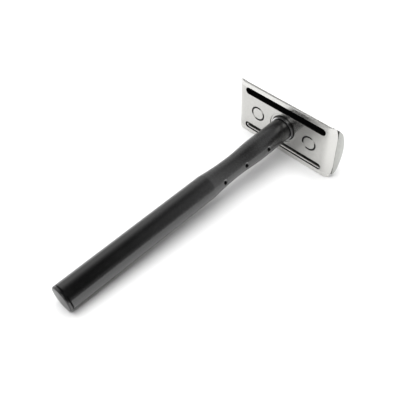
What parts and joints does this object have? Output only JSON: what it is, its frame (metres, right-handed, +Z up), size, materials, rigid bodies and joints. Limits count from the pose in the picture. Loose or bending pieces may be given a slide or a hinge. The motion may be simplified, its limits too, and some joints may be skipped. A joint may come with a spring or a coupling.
{
  "type": "safety razor",
  "caption": "Three-piece double-edge safety razor with a domed closed-end head, slotted flat base plate and slim waisted screw-on handle.",
  "frame": {"origin": "centre of the razor's bounding box in plan, on the surface that it lies on", "axes": "+Z up; +Y from the butt of the handle towards the head, level with the surface; +X along the head's long side. The razor lies on its butt and on the lower guard bar, so the handle's own axis rises 4.13 degrees from +Y"},
  "size_m": [0.0476, 0.11, 0.0244],
  "materials": {
    "cap_steel": "satin polished",
    "plate_steel": "satin polished",
    "post_steel": "satin polished",
    "stud_steel": "machined",
    "blade_steel": "polished with honed edges",
    "handle_black": "matte black anodised",
    "end_cap_black": "matte black anodised",
    "ring_black": "matte black anodised",
    "insert_brass": "turned"
  },
  "bodies": {
    "head_cap": {"Top_cap": "cap_steel", "Guide_post_left": "post_steel", "Guide_post_right": "post_steel", "Threaded_stud": "stud_steel"},
    "base_plate": {"Base_plate": "plate_steel"},
    "blade": {"Blade": "blade_steel"},
    "handle": {"Handle": "handle_black", "Handle_end_cap": "end_cap_black", "Neck_ring": "ring_black", "Threaded_insert": "insert_brass"}
  },
  "joints": [
    {"name": "base_plate_slide", "type": "slide", "parent": "head_cap", "child": "base_plate", "axis": [0, -0.9974, -0.072], "range_m": [0, 0.0092]},
    {"name": "handle_spin", "type": "hinge", "parent": "base_plate", "child": "handle", "pos_m": [0, 0.04887, 0.01214], "axis": [0, -0.9974, -0.072], "range_deg": [0, 4141]},
    {"name": "blade_slide", "type": "slide", "parent": "head_cap", "child": "blade", "axis": [0, -0.9974, -0.072], "range_m": [0, 0.0047]}
  ],
  "couplings": [
    {"joint": "handle_spin", "follows": "base_plate_slide", "rad_per_m": 7854},
    {"joint": "blade_slide", "follows": "base_plate_slide", "ratio": 0.5}
  ]
}
